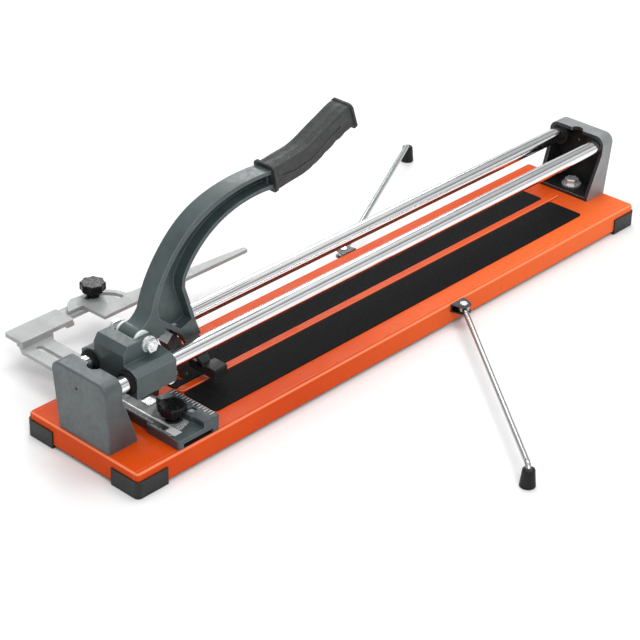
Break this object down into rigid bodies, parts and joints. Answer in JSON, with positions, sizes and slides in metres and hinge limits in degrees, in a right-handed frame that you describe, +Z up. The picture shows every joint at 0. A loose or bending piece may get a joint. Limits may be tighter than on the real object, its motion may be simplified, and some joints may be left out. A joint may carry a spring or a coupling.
{
  "type": "tile cutter",
  "caption": "Manual rail tile cutter: a carriage with a scoring wheel and breaker lever slides on twin chromed rails over a padded sheet base with fences and folding legs.",
  "frame": {"origin": "on the bench under the middle of the base, on the underside of the centre foot", "axes": "+X along the rails away from the fence end, +Y towards the extension arm, +Z up"},
  "size_m": [1.0208, 0.7192, 0.345],
  "materials": {
    "orange_paint": "glossy stoved paint",
    "slate_casting": "satin dark grey paint on cast aluminium",
    "grey_casting": "satin dark grey paint on cast aluminium",
    "silver_casting": "silver grey paint on cast aluminium",
    "black_paint": "black satin paint",
    "pad_rubber": "fine ribbed black rubber",
    "guard_plastic": "textured dark grey plastic",
    "black_plastic": "moulded black plastic",
    "chrome_rail": "polished chrome on ground steel",
    "zinc": "bright zinc plate",
    "bright_steel": "turned steel",
    "black_steel": "black oxide",
    "cast_aluminium": "light grey cast aluminium",
    "scale_metal": "printed silver scale",
    "brass": "turned brass",
    "bronze": "sintered bronze",
    "nylon": "off-white nylon",
    "grip_rubber": "fine textured dark rubber",
    "foot_rubber": "black rubber",
    "leg_chrome": "chromed wire"
  },
  "bodies": {
    "base": {"base_pan": "orange_paint", "bed_pad_right": "pad_rubber", "bed_pad_left": "pad_rubber", "corner_guard_far_left": "guard_plastic", "corner_guard_far_right": "guard_plastic", "corner_guard_near_left": "guard_plastic", "corner_guard_near_right": "guard_plastic", "bed_spine": "bright_steel", "centre_foot": "foot_rubber", "near_bracket": "grey_casting", "far_bracket": "silver_casting", "near_bracket_liner": "black_plastic", "far_bracket_liner": "black_plastic", "rail_right": "chrome_rail", "rail_left": "chrome_rail", "bracket_bolts": "zinc", "bracket_washers": "zinc", "bracket_nuts": "zinc", "fence_bar": "slate_casting", "scale_strip": "scale_metal", "scale_plates": "scale_metal", "fence_screws": "bright_steel", "fence_mount_screws": "bright_steel", "clamp_bolt": "bright_steel", "leg_bracket_right": "black_steel", "leg_bracket_left": "black_steel", "leg_pins": "bright_steel"},
    "clamp_knob_body": {"clamp_knob": "black_plastic", "clamp_knob_insert": "brass"},
    "extension": {"extension_arm": "cast_aluminium", "fence_bolt": "bright_steel", "swivel_pin": "bright_steel"},
    "fence_knob_body": {"fence_knob": "black_plastic", "fence_knob_insert": "brass"},
    "swivel": {"swivel_fence": "cast_aluminium"},
    "right_leg": {"leg_right": "leg_chrome", "leg_foot_right": "foot_rubber"},
    "left_leg": {"leg_left": "leg_chrome", "leg_foot_left": "foot_rubber"},
    "carriage_body": {"carriage": "slate_casting", "rail_bush_right_front": "bronze", "rail_bush_right_rear": "bronze", "rail_bush_left_front": "bronze", "rail_bush_left_rear": "bronze", "rail_seal_right": "black_plastic", "rail_seal_left": "black_plastic", "pivot_bolt": "zinc", "pivot_nut": "zinc", "thrust_washers": "nylon", "roller_screws": "bright_steel"},
    "roller_right_body": {"roller_right": "bright_steel"},
    "roller_left_body": {"roller_left": "bright_steel"},
    "lever_body": {"lever": "slate_casting", "grip": "grip_rubber", "wheel_holder": "black_steel", "holder_screw": "bright_steel", "wheel_axle": "bright_steel", "foot_pin": "bright_steel"},
    "wheel": {"scoring_wheel": "bright_steel"},
    "foot": {"breaker_foot": "slate_casting"}
  },
  "joints": [
    {"name": "carriage_slide", "type": "slide", "parent": "base", "child": "carriage_body", "axis": [1, 0, 0], "range_m": [-0.012, 0.73]},
    {"name": "lever_tilt", "type": "hinge", "parent": "carriage_body", "child": "lever_body", "pos_m": [-0.42, 0, 0.149], "axis": [0, -1, 0], "range_deg": [-4.5, 8]},
    {"name": "foot_swing", "type": "hinge", "parent": "lever_body", "child": "foot", "pos_m": [-0.298, 0, 0.057], "axis": [0, -1, 0], "range_deg": [-8, 66]},
    {"name": "wheel_spin", "type": "hinge", "parent": "lever_body", "child": "wheel", "pos_m": [-0.338, 0, 0.0615], "axis": [0, 1, 0], "continuous": true},
    {"name": "extension_slide", "type": "slide", "parent": "base", "child": "extension", "axis": [0, 1, 0], "range_m": [-0.105, 0.005]},
    {"name": "fence_swivel", "type": "hinge", "parent": "extension", "child": "swivel", "pos_m": [-0.283, 0.209, 0.045], "axis": [0, 0, 1], "range_deg": [-17, 60]},
    {"name": "fence_knob_spin", "type": "hinge", "parent": "extension", "child": "fence_knob_body", "pos_m": [-0.277, 0.24, 0.058], "axis": [0, 0, 1], "continuous": true},
    {"name": "clamp_knob_spin", "type": "hinge", "parent": "base", "child": "clamp_knob_body", "pos_m": [-0.4065, -0.054, 0.056], "axis": [0, 0, 1], "continuous": true},
    {"name": "right_leg_fold", "type": "hinge", "parent": "base", "child": "right_leg", "pos_m": [0.087, -0.112, 0.028], "axis": [0, 0, 1], "range_deg": [-50, 60]},
    {"name": "left_leg_fold", "type": "hinge", "parent": "base", "child": "left_leg", "pos_m": [0.087, 0.112, 0.028], "axis": [0, 0, 1], "range_deg": [-26, 93]},
    {"name": "roller_right_spin", "type": "hinge", "parent": "carriage_body", "child": "roller_right_body", "pos_m": [-0.396, -0.0388, 0.09505], "axis": [0, 1, 0], "continuous": true},
    {"name": "roller_left_spin", "type": "hinge", "parent": "carriage_body", "child": "roller_left_body", "pos_m": [-0.396, 0.0388, 0.09505], "axis": [0, 1, 0], "continuous": true}
  ],
  "couplings": [
    {"joint": "roller_right_spin", "follows": "carriage_slide", "rad_per_m": -125},
    {"joint": "roller_left_spin", "follows": "carriage_slide", "rad_per_m": -125}
  ]
}
